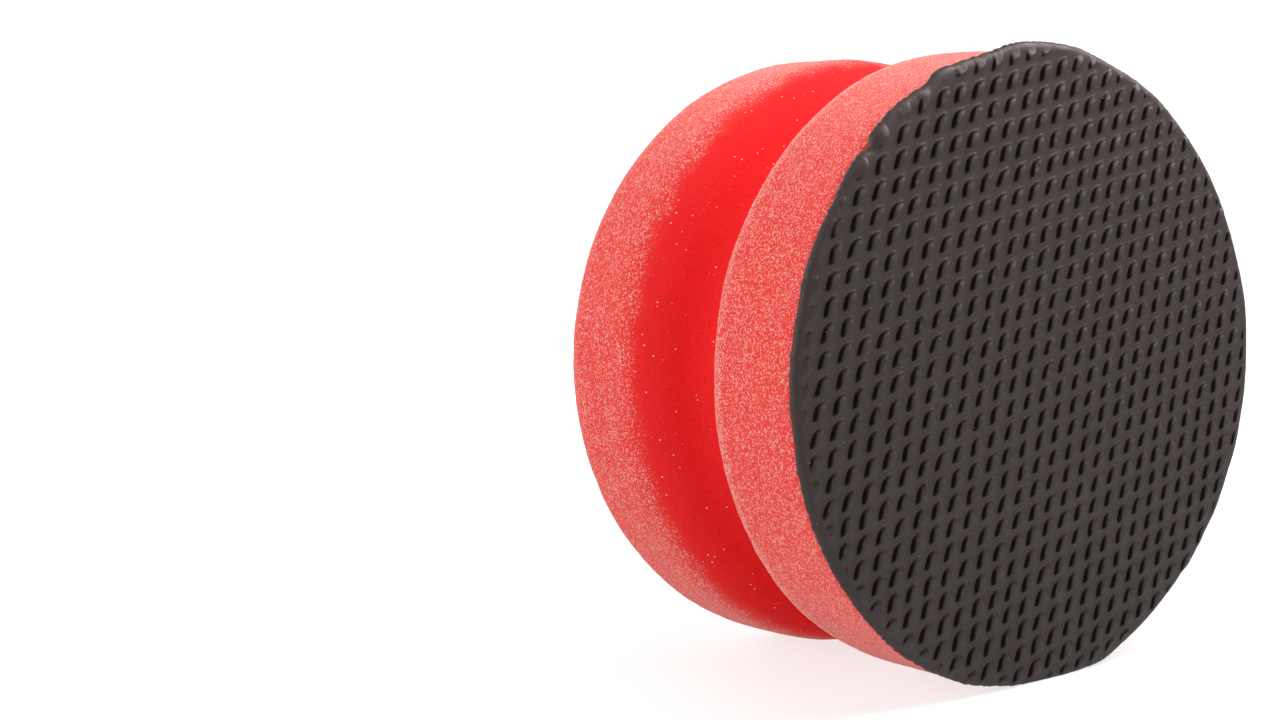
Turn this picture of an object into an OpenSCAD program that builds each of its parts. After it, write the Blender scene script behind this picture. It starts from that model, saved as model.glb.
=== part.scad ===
// Clay puck: a round hand pad for decontaminating car paint. A foam grip, turned like a spool with a
// finger groove round its waist, carries a sheet of embossed rubber clay bonded over its front.
// The puck stands on its rim: +Z is up, the clay faces -Y and the palm end faces +Y. The origin is
// on the ground, half way along the puck and below its axis.

/* [Puck] */
// Diameter of the foam grip over both flanges
puck_d = 100; // [80:1:160]
// Width of the flat that the soft foam settles onto where it stands on its rim
rest_w = 12; // [8:0.5:20]

/* [Foam grip] */
// Width of the front flange, from the bonded face to the finger groove
front_flange_w = 19.1; // [10:0.1:30]
// Width of the straight rim of the palm flange, between its shoulder and its rear edge
palm_rim_w = 9.2; // [4:0.1:20]
// Depth of the finger groove below the rim
groove_depth = 11; // [5:0.5:16]
// Radius of the groove's bottom, where the fingertips lie
groove_r = 8.2; // [5:0.1:16]
// Radius of the soft shoulder from the groove up to the palm flange
shoulder_r = 9.7; // [4:0.1:14]
// Radius of the rear edge, round the palm face
palm_edge_r = 6; // [2:0.5:12]
// Radius of the front flange's edge beside the groove
lip_r = 1.8; // [0.5:0.1:3]
// Radius of the foam's edge beside the clay
seam_r = 0.5; // [0.2:0.1:2]

/* [Bond film] */
// Thickness of the film of adhesive under the clay
film_t = 0.2; // [0.1:0.05:0.5]
// How far the film stops short of the foam's rim
film_inset = 1.2; // [0.5:0.1:4]

/* [Clay face] */
// Thickness of the clay sheet between its bumps
clay_t = 1.4; // [0.8:0.1:4]
// How far the clay sheet stands out past the foam's rim
clay_overhang = 1; // [0:0.1:1.5]
// Radius of the clay sheet's front edge
clay_edge_r = 0.5; // [0.1:0.1:0.7]
// Pitch of the embossing along the length of the bumps
emboss_long = 6.09; // [5:0.01:9]
// Pitch of the embossing across the bumps
emboss_short = 4.26; // [3.6:0.01:7]
// Turn of the embossing from level
emboss_turn = 47; // [0:1:90]
// Length of a bump
bump_l = 3.2; // [2:0.1:3.6]
// Width of a bump
bump_w = 2; // [1:0.1:2.4]
// Height of a bump
bump_h = 0.7; // [0.3:0.1:1.5]
// Turn of a bump from the rows of the embossing
bump_turn = 6; // [-20:1:20]
// Width of the plain margin between the outermost bumps and the sheet's edge
clay_margin = 0.8; // [0.4:0.1:4]

/* [Hidden] */
puck_r = puck_d / 2;
axis_z = sqrt(puck_r * puck_r - rest_w * rest_w / 4);
clay_r = puck_r + clay_overhang;
film_r = puck_r - film_inset;

// Stations along the axis, counted from the foam's front face towards the palm end
groove_centre_r = puck_r - groove_depth + groove_r;
lip_drop = max(0, groove_centre_r - (puck_r - lip_r));
groove_at = front_flange_w + sqrt(groove_r * groove_r - lip_drop * lip_drop);
groove_start = 270 - asin(lip_drop / groove_r);

// The groove's arc and the shoulder's arc touch, so their centres lie both radii apart
shoulder_centre_r = puck_r - shoulder_r;
both_r = groove_r + shoulder_r;
shoulder_rise = groove_centre_r - shoulder_centre_r;
shoulder_at = groove_at + sqrt(both_r * both_r - shoulder_rise * shoulder_rise);
turn_over = acos(shoulder_rise / both_r);
foam_l = shoulder_at + palm_rim_w + palm_edge_r;

// Places along Y
depth = bump_h + clay_t + film_t + foam_l;
clay_y = bump_h - depth / 2;
film_y = clay_y + clay_t;
foam_y = film_y + film_t;

arc_step = 7.5;
cut = puck_d;

// Points along an arc of radius r about [cr, cx], as [radius, station] pairs
function arc(cr, cx, r, from, to) =
    let (steps = ceil(abs(to - from) / arc_step))
    [for (i = [0:steps]) let (a = from + (to - from) * i / steps) [cr + r * cos(a), cx + r * sin(a)]];

// Turns a [radius, station] outline about the puck's axis, starting at y and running towards +Y
module turned(outline, y) {
    translate([0, y, axis_z])
    rotate([-90, 0, 0])
    rotate_extrude($fn = 180)
    polygon(outline);
}

// Takes away what the soft puck has settled flat against the ground
module settled() {
    difference() {
        children();
        translate([-cut, -cut, -cut])
        cube([2 * cut, 2 * cut, cut]);
    }
}

// The outline of the spool: front flange, finger groove, soft shoulder and palm flange
function grip_outline() = concat(
    [[0, 0]],
    arc(puck_r - seam_r, seam_r, seam_r, -90, 0),
    arc(puck_r - lip_r, front_flange_w - lip_r, lip_r, 0, 90),
    arc(groove_centre_r, groove_at, groove_r, groove_start, 180 - turn_over),
    arc(shoulder_centre_r, shoulder_at, shoulder_r, -turn_over, 0),
    arc(puck_r - palm_edge_r, foam_l - palm_edge_r, palm_edge_r, 0, 90),
    [[0, foam_l]]
);

module foam_grip() {
    color([0.93, 0.20, 0.18])
    settled()
    turned(grip_outline(), foam_y);
}

module bond_film() {
    color([0.85, 0.82, 0.74])
    settled()
    turned([[0, 0], [film_r, 0], [film_r, film_t], [0, film_t]], film_y);
}

// One bump of the embossing: a leaf with two straight sides and pointed ends
module bump() {
    side_l = bump_l - bump_w;
    linear_extrude(height = bump_h + clay_t / 2)
    polygon([
        [bump_l / 2, 0], [side_l / 2, bump_w / 2], [-side_l / 2, bump_w / 2],
        [-bump_l / 2, 0], [-side_l / 2, -bump_w / 2], [side_l / 2, -bump_w / 2]
    ]);
}

// The bumps stand in offset rows, on every place that lies wholly inside the plain margin
module embossing() {
    reach = clay_r - clay_margin - bump_l / 2;
    rows = ceil(2 * clay_r / min(emboss_long, emboss_short));
    translate([0, clay_y + clay_t / 2, axis_z])
    rotate([90, 0, 0])
    rotate([0, 0, emboss_turn])
    for (i = [-rows:rows], j = [-rows:rows]) {
        x = i * emboss_long / 2;
        y = j * emboss_short / 2;
        if ((i + j) % 2 == 0 && norm([x, y]) < reach)
            translate([x, y, 0])
            rotate([0, 0, bump_turn])
            bump();
    }
}

module clay_face() {
    color([0.24, 0.21, 0.20]) {
        settled()
        turned(concat(
            [[0, 0]],
            arc(clay_r - clay_edge_r, clay_edge_r, clay_edge_r, -90, 0),
            [[clay_r, clay_t], [0, clay_t]]
        ), clay_y);
        embossing();
    }
}

foam_grip();
bond_film();
clay_face();
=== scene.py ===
"""Clay puck: a foam grip with a sheet of embossed rubber clay over its front, standing on its rim.

Lengths are in metres. The puck's axis lies along Y, the clay faces -Y and the palm end faces +Y.
Rounds are measured about that axis: an angle of 0 is +X and 90 degrees is up.
"""
import math

import bpy
import numpy as np
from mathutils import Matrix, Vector, noise


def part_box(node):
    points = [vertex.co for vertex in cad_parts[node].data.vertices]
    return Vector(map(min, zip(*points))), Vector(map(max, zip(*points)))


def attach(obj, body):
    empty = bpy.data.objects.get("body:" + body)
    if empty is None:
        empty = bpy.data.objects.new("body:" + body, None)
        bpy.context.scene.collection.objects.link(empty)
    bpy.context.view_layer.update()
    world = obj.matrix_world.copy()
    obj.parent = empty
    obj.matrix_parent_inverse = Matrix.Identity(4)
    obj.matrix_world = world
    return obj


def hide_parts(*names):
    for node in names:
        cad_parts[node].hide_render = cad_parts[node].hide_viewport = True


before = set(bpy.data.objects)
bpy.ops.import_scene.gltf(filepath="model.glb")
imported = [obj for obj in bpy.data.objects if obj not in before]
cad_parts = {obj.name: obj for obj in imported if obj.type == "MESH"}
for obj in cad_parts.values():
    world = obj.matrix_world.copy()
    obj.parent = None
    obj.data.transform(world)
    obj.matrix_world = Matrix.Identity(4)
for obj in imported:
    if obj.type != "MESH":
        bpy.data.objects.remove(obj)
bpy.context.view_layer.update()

MM = 0.001

# The frame's own places
foam_low, foam_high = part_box("foam_grip")
_, film_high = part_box("bond_film")
clay_low, clay_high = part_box("clay_face")
puck_r = (foam_high.x - foam_low.x) / 2
clay_r = (clay_high.x - clay_low.x) / 2
axis_z = foam_high.z - puck_r
bump_h = 0.7 * MM
clay_front = clay_low.y + bump_h
clay_back = clay_high.y
foam_front = foam_low.y
foam_l = foam_high.y - foam_low.y

# Sizes of the foam grip, as in the part
front_flange_w = 19.1 * MM
groove_depth = 11 * MM
groove_r = 8.2 * MM
shoulder_r = 9.7 * MM
palm_edge_r = 6 * MM
lip_r = 1.8 * MM
seam_r = 0.5 * MM

# The cut surface of the foam: size of its lumps and cells, how deep they go, and their own noise
foam_voxel = 0.6 * MM
foam_unevenness = [
    (14 * MM, 0.22 * MM, 1),
    (4.5 * MM, 0.07 * MM, 2),
    (1.3 * MM, 0.055 * MM, 3),
    (0.7 * MM, 0.035 * MM, 4),
]
foam_inward = 0.1 * MM

# Sizes of the embossing, as in the part
emboss_long = 6.09 * MM
emboss_short = 4.26 * MM
emboss_turn = math.radians(47)
bump_l = 3.2 * MM
bump_w = 2 * MM


# ---------------------------------------------------------------- helpers

def start_fresh():
    """Leaves edit mode and selects nothing, so that an operator acts only on what comes next."""
    if bpy.context.object and bpy.context.object.mode != "OBJECT":
        bpy.ops.object.mode_set(mode="OBJECT")
    bpy.ops.object.select_all(action="DESELECT")


def edit(mode="VERT"):
    bpy.ops.object.mode_set(mode="EDIT")
    bpy.ops.mesh.select_mode(type=mode)


def done():
    bpy.ops.object.mode_set(mode="OBJECT")


def points(piece):
    co = np.empty(len(piece.data.vertices) * 3)
    piece.data.vertices.foreach_get("co", co)
    return co.reshape(-1, 3)


def set_points(piece, co):
    piece.data.vertices.foreach_set("co", co.reshape(-1))
    piece.data.update()


def normals(piece):
    no = np.empty(len(piece.data.vertices) * 3)
    piece.data.vertices.foreach_get("normal", no)
    return no.reshape(-1, 3)


def apply_modifier(piece, kind, **settings):
    modifier = piece.modifiers.new(kind.lower(), kind)
    for name, value in settings.items():
        setattr(modifier, name, value)
    bpy.context.view_layer.objects.active = piece
    bpy.ops.object.modifier_apply(modifier=modifier.name)


def set_attribute(piece, name, values):
    attribute = piece.data.attributes.new(name, "FLOAT", "POINT")
    attribute.data.foreach_set("value", np.asarray(values, dtype=np.float32))


def smooth_step(low, high, x):
    t = np.clip((x - low) / (high - low), 0, 1)
    return t * t * (3 - 2 * t)


def clouds(co, size, seed=0.0):
    """Soft noise from -1 to 1 at each point, with lumps of about the given size."""
    shift = Vector((seed * 17.3, seed * 5.1, seed * 9.7))
    return np.array([noise.noise(Vector(p) / size + shift) for p in co])


def around(co):
    """Radius and angle of each point about the puck's axis."""
    x, z = co[:, 0], co[:, 2] - axis_z
    return np.hypot(x, z), np.arctan2(z, x)


def settle(co, reach=0.5 * MM):
    """Presses what would sink into the ground up onto it, as soft foam settles."""
    lowest = reach * math.exp((min(co[:, 2].min(), 0) - reach) / reach)
    z = co[:, 2]
    pressed = reach * np.exp((np.minimum(z, reach) - reach) / reach)
    pressed = (pressed - lowest) * reach / (reach - lowest)
    co[:, 2] = np.where(z < reach, pressed, z)
    return co


# ---------------------------------------------------------------- foam grip

def arc(centre_r, centre_s, r, start, end, steps=24):
    angles = np.radians(np.linspace(start, end, steps))
    return [(centre_r + r * math.cos(a), centre_s + r * math.sin(a)) for a in angles]


def grip_outline():
    """The spool's outline as radius and station, from the middle of the front to that of the palm."""
    groove_centre_r = puck_r - groove_depth + groove_r
    lip_drop = max(0, groove_centre_r - (puck_r - lip_r))
    groove_s = front_flange_w + math.sqrt(groove_r ** 2 - lip_drop ** 2)
    groove_start = 270 - math.degrees(math.asin(lip_drop / groove_r))
    shoulder_centre_r = puck_r - shoulder_r
    both_r = groove_r + shoulder_r
    shoulder_rise = groove_centre_r - shoulder_centre_r
    shoulder_s = groove_s + math.sqrt(both_r ** 2 - shoulder_rise ** 2)
    turn_over = math.degrees(math.acos(shoulder_rise / both_r))
    return np.array(
        [(0, 0)]
        + arc(puck_r - seam_r, seam_r, seam_r, -90, 0)
        + arc(puck_r - lip_r, front_flange_w - lip_r, lip_r, 0, 90)
        + arc(groove_centre_r, groove_s, groove_r, groove_start, 180 - turn_over)
        + arc(shoulder_centre_r, shoulder_s, shoulder_r, -turn_over, 0)
        + arc(puck_r - palm_edge_r, foam_l - palm_edge_r, palm_edge_r, 0, 90)
        + [(0, foam_l)]
    )


def turned_blank(name, outline, steps, rings):
    """A flat grid rolled round the puck's axis, with its rows spread along the outline."""
    start_fresh()
    bpy.ops.mesh.primitive_grid_add(x_subdivisions=steps, y_subdivisions=rings, size=1)
    piece = bpy.context.object
    piece.name = name
    co = points(piece)
    angle = (co[:, 0] + 0.5) * 2 * math.pi
    run = np.concatenate([[0], np.cumsum(np.hypot(*np.diff(outline, axis=0).T))])
    along = (co[:, 1] + 0.5) * run[-1]
    r = np.interp(along, run, outline[:, 0])
    s = np.interp(along, run, outline[:, 1])
    rolled = np.stack([r * np.cos(angle), foam_front + s, axis_z + r * np.sin(angle)], axis=1)
    set_points(piece, rolled)
    edit()
    bpy.ops.mesh.select_all(action="SELECT")
    bpy.ops.mesh.remove_doubles(threshold=0.002 * MM)
    bpy.ops.mesh.normals_make_consistent(inside=False)
    done()
    return piece


def make_foam_grip():
    piece = turned_blank("foam_grip_body", grip_outline(), steps=360, rings=220)
    apply_modifier(piece, "REMESH", mode="VOXEL", voxel_size=foam_voxel)
    apply_modifier(piece, "SMOOTH", factor=0.5, iterations=2)
    co, no = points(piece), normals(piece)
    r, _ = around(co)
    station = co[:, 1] - foam_front

    # Where it was cut: wide soft unevenness, then the pits of the open cells
    on_front = smooth_step(1.2 * MM, 0.2 * MM, station)
    rough = sum(clouds(co, size, seed) * deep for size, deep, seed in foam_unevenness)
    co += no * ((rough - foam_inward) * (1 - on_front))[:, None]

    # The bare rim of the front swells up to the clay, past the edge of the film
    swell = smooth_step(film_high.x - 0.4 * MM, film_high.x + 0.2 * MM, r) * on_front
    gap = foam_front - clay_back
    co[:, 1] -= swell * gap * 0.7
    co[:, 1] = np.minimum(co[:, 1], foam_high.y)
    set_points(piece, settle(co))

    # Painted light: a mask that paints the turned outer faces a pale frosted pink as if lit, and leaves
    # the shaded groove deep red
    depth = puck_r - r
    painted_light = 1 - 0.85 * smooth_step(0.15 * MM, 2.0 * MM, depth + clouds(co, 3 * MM, 5) * 0.5 * MM)
    # The palm face gets most of the painted light as well
    rear_edge = foam_l - palm_edge_r
    palm = smooth_step(rear_edge - 2 * MM, rear_edge, station)
    painted_light = np.maximum(painted_light, palm * 0.9)

    # Painted highlight: the edges of the front lip are painted palest
    painted_lip_highlight = smooth_step(2.6 * MM, 0.8 * MM, abs(station - front_flange_w + 0.9 * MM))
    painted_light += 0.35 * painted_lip_highlight * smooth_step(3 * MM, 1 * MM, depth)
    set_attribute(piece, "painted_light", painted_light)
    bpy.ops.object.shade_smooth()
    return piece


# ---------------------------------------------------------------- clay face

RING_POINTS = 16
# Rings of a bump from its foot to its crown: its share of the leaf's size and of the bump's height
BUMP_RINGS = [
    (1.18, 0.00),
    (1.08, 0.10),
    (0.95, 0.48),
    (0.80, 0.76),
    (0.60, 0.94),
    (0.32, 1.03),
]


def rhombus_point(k):
    """Point k of the ring round one place of the embossing, a quarter of them on each side."""
    corners = [(emboss_long / 2, 0), (0, emboss_short / 2), (-emboss_long / 2, 0), (0, -emboss_short / 2)]
    side, part = divmod(k, RING_POINTS // 4)
    t = part / (RING_POINTS // 4)
    a, b = corners[side % 4], corners[(side + 1) % 4]
    return a[0] + (b[0] - a[0]) * t, a[1] + (b[1] - a[1]) * t


def leaf_point(k, size):
    """Point k of a leaf: between an ellipse and a rhombus, with a full head and a drawn-out tail."""
    a = 2 * math.pi * k / RING_POINTS
    sharp = 1.3
    x = math.copysign(abs(math.cos(a)) ** sharp, math.cos(a)) * bump_l / 2 * size * 1.1
    y = math.copysign(abs(math.sin(a)) ** sharp, math.sin(a)) * bump_w / 2 * size * 0.84
    y *= 1 + 0.2 * math.cos(a)
    return x, y


def place_ring(piece, place):
    """Puts the selected ring's points, in their order round the middle, where place(k) says."""
    ring = [v for v in piece.data.vertices if v.select]
    ring.sort(key=lambda v: math.atan2(v.co.y, v.co.x) % (2 * math.pi - 1e-4))
    for k, v in enumerate(ring):
        v.co = place(k)


def emboss_cell():
    """One place of the embossing: a rhombus of plain sheet with a bump drawn up in its middle."""
    start_fresh()
    bpy.ops.mesh.primitive_circle_add(vertices=RING_POINTS, radius=emboss_short / 2, fill_type="NGON")
    piece = bpy.context.object
    piece.name = "clay_sheet"
    place_ring(piece, lambda k: (*rhombus_point(k), 0))
    for size, rise in BUMP_RINGS:
        edit("FACE")
        bpy.ops.mesh.extrude_region_move()
        bpy.ops.transform.resize(value=(0.9, 0.9, 1))
        done()
        place_ring(piece, lambda k: (*leaf_point(k, size), rise * bump_h))
    edit("FACE")
    bpy.ops.mesh.poke()
    done()
    middle = min(piece.data.vertices, key=lambda v: v.co.xy.length)
    middle.co = (0, 0, 1.05 * bump_h)
    edit("FACE")
    bpy.ops.mesh.select_all(action="DESELECT")
    done()
    under = max(piece.data.polygons, key=lambda face: len(face.vertices))
    under.select = True
    edit("FACE")
    bpy.ops.mesh.delete(type="ONLY_FACE")
    done()
    return piece


def repeat_cell(piece):
    """Copies the cell along both rows of the lattice and joins each copy to the next."""
    row_gap = emboss_long * emboss_short / math.hypot(emboss_long, emboss_short)
    count = math.ceil(2 * clay_r / row_gap) + 1
    for across in (emboss_short / 2, -emboss_short / 2):
        apply_modifier(
            piece, "ARRAY", count=count, use_relative_offset=False, use_constant_offset=True,
            constant_offset_displace=(emboss_long / 2, across, 0),
        )
    edit()
    bpy.ops.mesh.select_all(action="SELECT")
    bpy.ops.mesh.remove_doubles(threshold=0.05 * MM)
    bpy.ops.mesh.select_all(action="DESELECT")
    done()
    co = points(piece)
    co[:, 0] -= (count - 1) * emboss_long / 2
    set_points(piece, co)
    return count


def vary_bumps(co, count):
    """Makes no two bumps alike: height, size, twist, shift, the slope of the top, and a dimple.

    Gives the moved points, each point's share of a bump's height, and how much painted shade it has.
    """
    p = co[:, 0] / emboss_long + co[:, 1] / emboss_short
    q = co[:, 0] / emboss_long - co[:, 1] / emboss_short
    odd = (count - 1) / 2 % 1
    i = np.rint(p - odd) + odd
    j = np.rint(q - odd) + odd
    middle = np.stack([(i + j) * emboss_long / 2, (i - j) * emboss_short / 2], axis=1)
    local = co[:, :2] - middle
    outward = np.maximum(abs(p - i), abs(q - j)) * 2
    inside = smooth_step(1.0, 0.8, outward)

    chance = np.random.default_rng(11)
    row = (i + (count - 1) / 2).astype(int).clip(0, count - 1)
    column = (j + (count - 1) / 2).astype(int).clip(0, count - 1)

    def each(low, high):
        return chance.uniform(low, high, (count, count))[row, column]

    r = np.hypot(middle[:, 0], middle[:, 1])
    height = each(0.86, 1.0) * (1 + 0.03 * np.sin(middle[:, 0] / (9 * MM)))
    height *= 1 - 0.4 * smooth_step(clay_r - 4.5 * MM, clay_r - 1.5 * MM, r)
    grow_l = each(0.94, 1.06)
    grow_w = each(0.9, 1.06)
    twist = each(-0.02, 0.16)
    shift_x, shift_y = each(-0.1, 0.1) * MM, each(-0.08, 0.08) * MM
    slope_x, slope_y = each(-0.08, 0.06) / MM, each(-0.34, -0.14) / MM
    dimple = np.maximum(0, each(-0.6, 0.35))

    # Painted shade: dark up a bump's left side, and a painted crease shade a little at its foot on the
    # right; a small painted highlight near the crown on the right is taken off it
    share = np.clip(co[:, 2] / bump_h, 0, 1.1)
    angle = np.arctan2(local[:, 1], local[:, 0]) + emboss_turn
    facing = np.cos(angle + math.radians(14))
    lit_end = np.cos(angle - math.radians(22))
    side = smooth_step(0.0, 0.15, share) * np.clip((1.09 - share) / 0.45, 0, 1)
    side *= smooth_step(0.1, -0.8, facing)
    # Painted shade of a crease at the foot on the right, towards the lit end
    crease_shade = smooth_step(0.0, 0.1, share) * smooth_step(1.06, 0.86, share)
    crease_shade *= smooth_step(0.0, 0.7, lit_end)
    # Painted highlight near the crown on the right, taken off the painted shade
    painted_highlight = smooth_step(0.7, 0.94, share) * smooth_step(1.06, 0.98, share)
    painted_highlight *= smooth_step(0.0, 0.9, facing)
    painted_shade = side + 0.62 * crease_shade - 0.1 * painted_highlight

    x = local[:, 0] * (1 + (grow_l - 1) * inside)
    y = local[:, 1] * (1 + (grow_w - 1) * inside)
    turn = twist * inside
    x, y = x * np.cos(turn) - y * np.sin(turn), x * np.sin(turn) + y * np.cos(turn)
    x += shift_x * inside + 0.10 * MM * share
    y += shift_y * inside - 0.09 * MM * share
    sunk = dimple * smooth_step(0.75, 0.0, np.hypot(x / bump_l, y / bump_w) * 2)
    z = co[:, 2] * height * (1 + slope_x * x + slope_y * y) * (1 - sunk * share)
    z *= 1 - 0.92 * smooth_step(clay_r - 2.3 * MM, clay_r - 1.2 * MM, np.hypot(co[:, 0], co[:, 1]))
    z = np.clip(z, 0, 0.98 * bump_h)
    return np.stack([middle[:, 0] + x, middle[:, 1] + y, z], axis=1), share, painted_shade


# The hand-cut edge stands out past the foam by this much, in this many short straight cuts
CUT_OUT = 0.48 * MM
CUTS = 56
# Where the cut strayed: middle and half width in degrees about the axis, and how far out in mm
STRAYS = [
    (88, 10, 0.75), (115.5, 2.5, 0.55), (128, 5, 0.4),
    (9, 6, 0.3), (350, 20, 0.32), (200, 6, 0.2),
    (264, 13, -0.6), (286, 4, 0.4), (148, 7, -0.2),
    (136.5, 1.3, -0.7), (133.5, 1.5, 0.35), (120, 1.5, -0.3),
    (304, 7, -0.12), (312, 1.5, -0.25), (105, 4, -0.2),
]


def cut_line(angle):
    """Radius of the hand-cut edge: short straight cuts that wander, with nicks at the upper left."""
    angle = (np.asarray(angle) + emboss_turn) % (2 * math.pi)
    chance = np.random.default_rng(5)
    wander = chance.uniform(-0.16, 0.16, CUTS) * MM
    at = np.linspace(0, 2 * math.pi, CUTS, endpoint=False) + chance.uniform(-0.04, 0.04, CUTS)
    out = np.interp(angle, at, wander, period=2 * math.pi)
    for middle, width, size in STRAYS:
        off = (angle - math.radians(middle) + math.pi) % (2 * math.pi) - math.pi
        out = out + size * MM * np.exp(-(off / math.radians(width)) ** 2)
    return np.minimum(puck_r + CUT_OUT + out, clay_r - 0.02 * MM)


# Width of the band inside the cut line that is drawn out as rings, and the number of straight trims
EDGE_BAND = 1.15 * MM
TRIMS = 90
# Rings of the sheet's edge: inset from the cut line, depth behind the front, and how much of a
# bump that the edge cuts through is left there
EDGE_RINGS = [
    (0.85, 0.04, 0.75),
    (0.56, 0.13, 0.45),
    (0.30, 0.30, 0.2),
    (0.09, 0.60, 0.0),
    (0.00, 0.95, 0.0),
    (0.06, 1.25, 0.0),
    (0.30, 1.40, 0.0),
]


def trim_round(piece):
    """Cuts the sheet round with many short straight cuts, just inside the edge band."""
    co = points(piece)
    far = np.hypot(co[:, 0], co[:, 1]) > clay_r + emboss_long
    piece.data.vertices.foreach_set("select", far)
    edit()
    bpy.ops.mesh.delete(type="VERT")
    for k in range(TRIMS):
        angle = 2 * math.pi * (k + 0.5) / TRIMS
        across = (math.cos(angle), math.sin(angle), 0)
        reach = float(cut_line(angle)) - EDGE_BAND
        bpy.ops.mesh.select_all(action="SELECT")
        bpy.ops.mesh.bisect(
            plane_co=tuple(reach * c for c in across), plane_no=across,
            clear_outer=True, threshold=0.0001 * MM,
        )
    bpy.ops.mesh.select_all(action="SELECT")
    bpy.ops.mesh.remove_doubles(threshold=0.03 * MM)
    done()


def select_rim():
    """Selects only the open edges, in edit mode."""
    bpy.ops.mesh.select_all(action="DESELECT")
    bpy.ops.mesh.select_non_manifold(
        extend=False, use_wire=False, use_multi_face=False, use_non_contiguous=False, use_verts=False,
    )


def turn_edge(piece):
    """Draws the rim of the sheet outwards, over its rounded edge and back to a flat back."""
    edit("EDGE")
    select_rim()
    bpy.ops.mesh.subdivide(number_cuts=1)
    select_rim()
    was_depth, was_left = 0.0, 1.0
    for inset, depth, left in EDGE_RINGS:
        bpy.ops.mesh.extrude_region_move()
        done()
        co = points(piece)
        chosen = np.empty(len(co), dtype=bool)
        piece.data.vertices.foreach_get("select", chosen)
        ring = co[chosen]
        angle = np.arctan2(ring[:, 1], ring[:, 0])
        along = np.stack([angle * clay_r, ring[:, 0] * 0, ring[:, 0] * 0], axis=1)
        teeth = clouds(along, 0.8 * MM, 21)
        r = cut_line(angle) - inset * MM + teeth * depth * 0.16 * MM
        r = np.minimum(r, clay_r)
        height = ring[:, 2] + was_depth * MM
        if was_left > 0:
            height *= left / was_left
        ring[:, 0], ring[:, 1] = r * np.cos(angle), r * np.sin(angle)
        ring[:, 2] = height - depth * MM
        co[chosen] = ring
        set_points(piece, co)
        was_depth, was_left = depth, left
        edit("EDGE")
    bpy.ops.mesh.extrude_region_move()
    bpy.ops.mesh.merge(type="CENTER")
    bpy.ops.mesh.select_all(action="SELECT")
    bpy.ops.mesh.normals_make_consistent(inside=False)
    done()


def stand_up(piece):
    """Turns the flat sheet up to face -Y on the puck's axis and turns its rows to their slant."""
    co = points(piece)
    c, s = math.cos(emboss_turn), math.sin(emboss_turn)
    x = co[:, 0] * c - co[:, 1] * s
    z = co[:, 0] * s + co[:, 1] * c
    placed = np.stack([x, clay_front - co[:, 2], z + axis_z], axis=1)
    waves = clouds(placed, 9 * MM, 8) * 0.04 * MM
    placed[:, 1] += waves * smooth_step(clay_back, clay_front, placed[:, 1])
    placed[:, 1] = np.clip(placed[:, 1], clay_low.y, clay_back)
    set_points(piece, settle(placed, reach=0.25 * MM))
    edit()
    bpy.ops.mesh.select_all(action="SELECT")
    bpy.ops.mesh.normals_make_consistent(inside=False)
    done()


def fade_crown(piece):
    """Forgets the bumps and their painted shade in the plain rim, where the sheet was pressed flat and
    cut.
    """
    r, _ = around(points(piece))
    for name in ("crown", "painted_shade"):
        values = np.empty(len(r))
        attribute = piece.data.attributes[name]
        attribute.data.foreach_get("value", values)
        values *= 1 - smooth_step(clay_r - 2.2 * MM, clay_r - 1.3 * MM, r)
        attribute.data.foreach_set("value", values)


def make_clay_sheet():
    piece = emboss_cell()
    count = repeat_cell(piece)
    co, share, painted_shade = vary_bumps(points(piece), count)
    set_points(piece, co)
    set_attribute(piece, "crown", share)
    set_attribute(piece, "painted_shade", painted_shade)
    trim_round(piece)
    turn_edge(piece)
    stand_up(piece)
    fade_crown(piece)
    bpy.ops.object.shade_smooth_by_angle(angle=math.radians(60))
    return piece


# ---------------------------------------------------------------- materials

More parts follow.
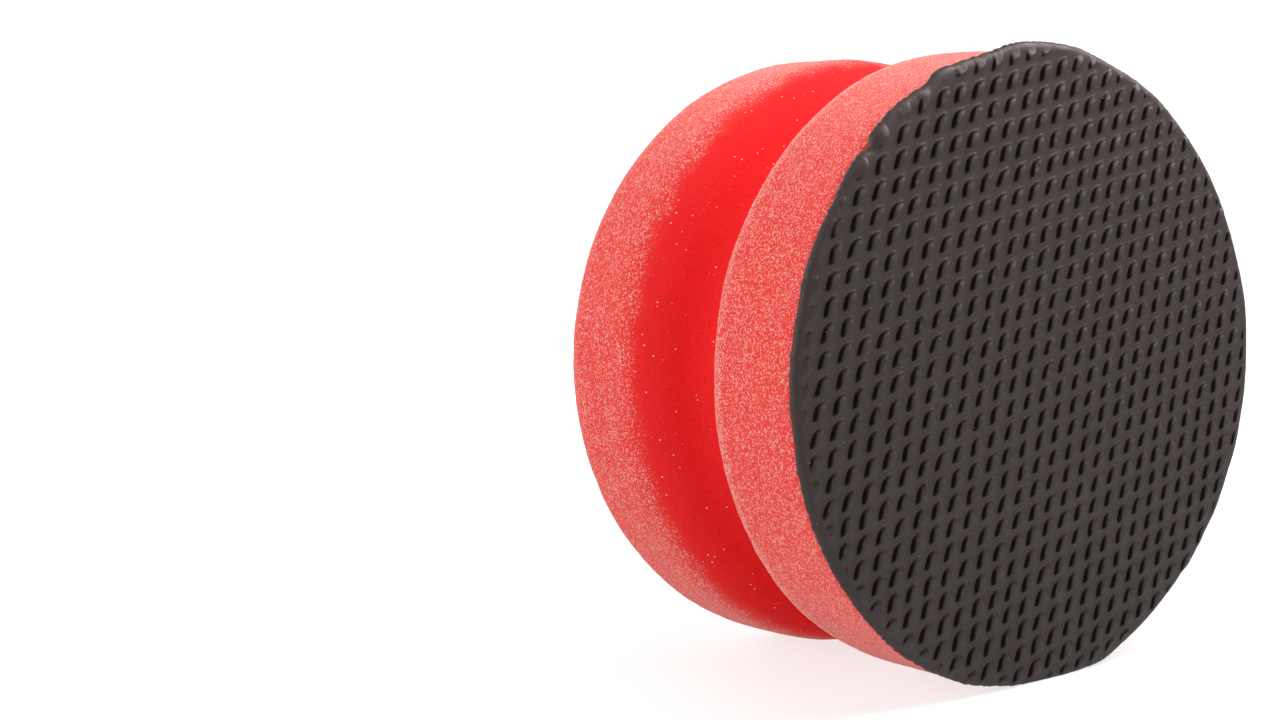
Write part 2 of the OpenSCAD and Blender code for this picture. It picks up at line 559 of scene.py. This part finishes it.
class Maker:
    """A few short words for wiring a material's nodes."""

    def __init__(self, name):
        self.material = bpy.data.materials.new(name)
        self.material.use_nodes = True
        self.nodes = self.material.node_tree.nodes
        self.links = self.material.node_tree.links
        self.shader = self.nodes["Principled BSDF"]
        self.place = self.nodes.new("ShaderNodeTexCoord").outputs["Object"]

    def join(self, source, socket):
        self.links.new(source, socket)

    def node(self, kind, **settings):
        made = self.nodes.new(kind)
        for name, value in settings.items():
            setattr(made, name, value)
        return made

    def noise(self, size, detail=2.0, rough=0.5):
        made = self.node("ShaderNodeTexNoise")
        made.inputs["Scale"].default_value = 1 / size
        made.inputs["Detail"].default_value = detail
        made.inputs["Roughness"].default_value = rough
        self.join(self.place, made.inputs["Vector"])
        return made.outputs["Fac"]

    def cells(self, size, output="Distance"):
        made = self.node("ShaderNodeTexVoronoi")
        made.inputs["Scale"].default_value = 1 / size
        self.join(self.place, made.inputs["Vector"])
        return made.outputs[output]

    def band(self, value, low, high, to_low=0.0, to_high=1.0):
        made = self.node("ShaderNodeMapRange", interpolation_type="SMOOTHSTEP")
        made.inputs["From Min"].default_value = low
        made.inputs["From Max"].default_value = high
        made.inputs["To Min"].default_value = to_low
        made.inputs["To Max"].default_value = to_high
        self.join(value, made.inputs["Value"])
        return made.outputs["Result"]

    def sum(self, how, a, b):
        made = self.node("ShaderNodeMath", operation=how)
        for socket, value in zip(made.inputs, (a, b)):
            if isinstance(value, (int, float)):
                socket.default_value = value
            else:
                self.join(value, socket)
        return made.outputs[0]

    def mix(self, factor, a, b):
        made = self.node("ShaderNodeMix", data_type="RGBA")
        self.join(factor, made.inputs["Factor"])
        for socket, value in ((made.inputs[6], a), (made.inputs[7], b)):
            if isinstance(value, tuple):
                socket.default_value = (*value, 1)
            else:
                self.join(value, socket)
        return made.outputs[2]

    def attribute(self, name):
        return self.node("ShaderNodeAttribute", attribute_name=name).outputs["Fac"]

    def bump(self, height, depth, strength=1.0, under=None):
        made = self.node("ShaderNodeBump")
        made.inputs["Strength"].default_value = strength
        made.inputs["Distance"].default_value = depth
        self.join(height, made.inputs["Height"])
        if under:
            self.join(under, made.inputs["Normal"])
        return made.outputs["Normal"]

    def set(self, **values):
        for name, value in values.items():
            self.shader.inputs[name.replace("_", " ")].default_value = value


def foam_material():
    """Red open-cell foam: deep red, painted darker in the cell pits as shade, and painted light on the
    turned faces: frosted pink with pale flecks where cut cell walls catch it.
    """
    m = Maker("red_foam")
    painted_light = m.attribute("painted_light")
    grain = m.noise(0.19 * MM, detail=2, rough=0.6)
    patch = m.noise(4 * MM, detail=2)
    pits = m.cells(0.36 * MM)
    each = m.node("ShaderNodeSeparateColor")
    m.join(m.cells(0.21 * MM, output="Color"), each.inputs[0])

    # Painted glints: cut cell walls catch the light in small pale flecks, thick on the lit turned faces
    # and thin in the shaded groove
    fleck = m.sum("ADD", m.sum("MULTIPLY", each.outputs[0], 0.55), m.sum("MULTIPLY", grain, 0.9))
    start = m.sum("SUBTRACT", 1.225, m.sum("MULTIPLY", painted_light, 0.37))
    start = m.sum("SUBTRACT", start, m.sum("MULTIPLY", patch, 0.12))
    lit = m.band(m.sum("SUBTRACT", fleck, start), -0.03, 0.22)
    # Painted shade: the deep red is darker in each cell's pit, as shade in the pores
    deep = m.mix(m.band(pits, 0.05, 0.4), (0.72, 0.009, 0.012), (0.96, 0.020, 0.024))
    # Painted light: a paler frosted body where the mask marks the lit faces, over the deep red
    body = m.mix(m.sum("MULTIPLY", painted_light, 0.8), deep, (0.90, 0.044, 0.042))
    painted_lit_colour = m.mix(m.sum("MULTIPLY", lit, 0.95), body, (0.96, 0.43, 0.36))

    # Here and there a painted glint: a whole wall left standing shines nearly white
    chance = m.node("ShaderNodeSeparateColor")
    m.join(m.cells(0.9 * MM, output="Color"), chance.inputs[0])
    rare = m.band(chance.outputs[0], 0.80, 0.85)
    near = m.band(m.cells(0.9 * MM), 0.17, 0.08)
    glint = m.sum("MULTIPLY", rare, near)
    colour = m.mix(glint, painted_lit_colour, (1.0, 0.76, 0.68))
    m.join(colour, m.shader.inputs["Base Color"])
    m.join(m.band(grain, 0.35, 0.65, 0.95, 0.75), m.shader.inputs["Roughness"])
    fine = m.bump(grain, 0.10 * MM, 0.6)
    m.join(m.bump(pits, 0.08 * MM, 0.5, under=fine), m.shader.inputs["Normal"])
    m.join(m.sum("MULTIPLY", painted_light, 0.45), m.shader.inputs["Sheen Weight"])
    m.set(Sheen_Roughness=0.45, Sheen_Tint=(1.0, 0.72, 0.64, 1.0), Specular_IOR_Level=0.1)
    return m.material


def clay_material():
    """Dark rubber clay, semi-matt: a grey bloom on the faces, painted shade on the steep sides and a
    little on the bumps' tops, and specks of dust.
    """
    m = Maker("dark_rubber_clay")
    crown = m.attribute("crown")
    painted_shade = m.attribute("painted_shade")
    side = m.band(painted_shade, 0.0, 1.05)
    grain = m.noise(0.35 * MM, detail=3, rough=0.6)
    patch = m.noise(9 * MM, detail=3)
    web = m.mix(m.band(grain, 0.3, 0.7), (0.030, 0.0190, 0.0180), (0.045, 0.0300, 0.0285))
    # Painted shade: the bumps' tops are a little darker than the web, as tops tilted away from the light
    top = m.mix(m.band(grain, 0.3, 0.7), (0.027, 0.0178, 0.0180), (0.041, 0.0278, 0.0282))
    body = m.mix(m.band(crown, 0.5, 0.95), web, top)
    body = m.mix(m.band(patch, 0.35, 0.7, 0.0, 0.3), body, (0.052, 0.0365, 0.0350))
    # Painted shade: the sides go nearly black where the painted shade marks them
    body = m.mix(m.sum("MULTIPLY", side, 0.97), body, (0.0056, 0.0034, 0.0034))
    chance = m.node("ShaderNodeSeparateColor")
    m.join(m.cells(1.6 * MM, output="Color"), chance.inputs[0])
    rare = m.band(chance.outputs[0], 0.76, 0.80)
    near = m.band(m.cells(1.6 * MM), 0.055, 0.03)
    dust = m.sum("MULTIPLY", rare, near)
    colour = m.mix(dust, body, (0.45, 0.38, 0.34))
    m.join(colour, m.shader.inputs["Base Color"])
    m.join(m.band(m.noise(2.5 * MM, detail=4), 0.3, 0.7, 0.42, 0.58), m.shader.inputs["Roughness"])
    soft = m.bump(m.noise(0.9 * MM, detail=2), 0.05 * MM, 0.7)
    m.join(m.bump(grain, 0.03 * MM, 0.6, under=soft), m.shader.inputs["Normal"])
    # Less specular where the painted shade is
    m.join(m.band(side, 0.1, 0.8, 0.5, 0.05), m.shader.inputs["Specular IOR Level"])
    m.set(Specular_Tint=(1.0, 0.84, 0.82, 1.0))
    return m.material


def film_material():
    """Pale adhesive, a little uneven and satin."""
    m = Maker("bond_adhesive")
    smear = m.noise(3 * MM, detail=3)
    m.join(m.mix(smear, (0.62, 0.55, 0.45), (0.78, 0.72, 0.62)), m.shader.inputs["Base Color"])
    m.join(m.band(smear, 0.3, 0.7, 0.35, 0.55), m.shader.inputs["Roughness"])
    m.join(m.bump(smear, 0.03 * MM, 0.5), m.shader.inputs["Normal"])
    return m.material


def floor_material():
    """White studio sweep, which glows more the further it is, so that it stays white to the horizon."""
    m = Maker("white_sweep")
    far = m.node("ShaderNodeVectorMath", operation="LENGTH")
    m.join(m.place, far.inputs[0])
    glow = m.band(far.outputs["Value"], 0.1, 0.35, 0.72, 1.0)
    seen = m.node("ShaderNodeLightPath").outputs["Is Camera Ray"]
    m.join(m.sum("MAXIMUM", m.sum("MULTIPLY", glow, seen), 0.3), m.shader.inputs["Emission Strength"])
    m.set(Base_Color=(0.37, 0.44, 0.44, 1), Roughness=0.9, Specular_IOR_Level=0.1)
    m.set(Emission_Color=(1, 1, 1, 1))
    return m.material


def dress(piece, material):
    piece.data.materials.clear()
    piece.data.materials.append(material)


# ---------------------------------------------------------------- studio

def add_floor():
    start_fresh()
    bpy.ops.mesh.primitive_plane_add(size=6, location=(0, 0, 0))
    floor = bpy.context.object
    floor.name = "floor"
    dress(floor, floor_material())


def direction(azimuth, elevation):
    """Points away from the puck. Azimuth 0 is straight in front of the clay, and 90 is at its right."""
    a, e = math.radians(azimuth), math.radians(elevation)
    return Vector((math.sin(a) * math.cos(e), -math.cos(a) * math.cos(e), math.sin(e)))


def hang(name, data, target, away, distance):
    """Places a light or a camera at a distance from the target, facing it."""
    holder = bpy.data.objects.new(name, data)
    holder.location = target + away * distance
    holder.rotation_euler = away.to_track_quat("Z", "Y").to_euler()
    bpy.context.scene.collection.objects.link(holder)
    return holder


def add_soft_box(name, azimuth, elevation, distance, size, power):
    """A square soft light that faces the puck."""
    light = bpy.data.lights.new(name, "AREA")
    light.shape = "SQUARE"
    light.size = size
    light.energy = power
    hang(name, light, Vector((0, 0, axis_z)), direction(azimuth, elevation), distance)


def light_studio():
    world = bpy.data.worlds.new("white_room")
    bpy.context.scene.world = world
    world.use_nodes = True
    nodes, links = world.node_tree.nodes, world.node_tree.links
    room = nodes["Background"]
    room.inputs["Color"].default_value = (1, 1, 1, 1)
    room.inputs["Strength"].default_value = 0.40
    seen = nodes.new("ShaderNodeBackground")
    seen.inputs["Color"].default_value = (1, 1, 1, 1)
    seen.inputs["Strength"].default_value = 1.1
    which = nodes.new("ShaderNodeMixShader")
    path = nodes.new("ShaderNodeLightPath")
    links.new(path.outputs["Is Camera Ray"], which.inputs[0])
    links.new(room.outputs[0], which.inputs[1])
    links.new(seen.outputs[0], which.inputs[2])
    links.new(which.outputs[0], nodes["World Output"].inputs[0])
    add_soft_box("key_right", azimuth=52, elevation=46, distance=0.31, size=0.22, power=1.02)
    add_soft_box("fill_left", azimuth=-106, elevation=16, distance=0.8, size=0.6, power=2.8)
    add_soft_box("top", azimuth=-20, elevation=76, distance=0.8, size=0.6, power=1.25)
    add_soft_box("back", azimuth=172, elevation=22, distance=0.8, size=0.6, power=2.0)


def add_camera():
    """Looks across the clay from the left, a little above level."""
    camera = bpy.data.cameras.new("camera")
    camera.sensor_width = 36
    camera.lens = 55.98
    camera.shift_x = -0.3126
    camera.shift_y = 0.0072
    camera.clip_start = 0.01
    target = Vector((0, foam_front, axis_z))
    bpy.context.scene.camera = hang("camera", camera, target, direction(-45.88, 5.66), distance=0.31343)


# ---------------------------------------------------------------- the puck

bpy.context.scene.view_settings.view_transform = "Standard"
add_camera()
add_floor()
light_studio()

foam = make_foam_grip()
dress(foam, foam_material())
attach(foam, "root")
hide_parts("foam_grip")

clay = make_clay_sheet()
dress(clay, clay_material())
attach(clay, "root")
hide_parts("clay_face")

dress(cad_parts["bond_film"], film_material())
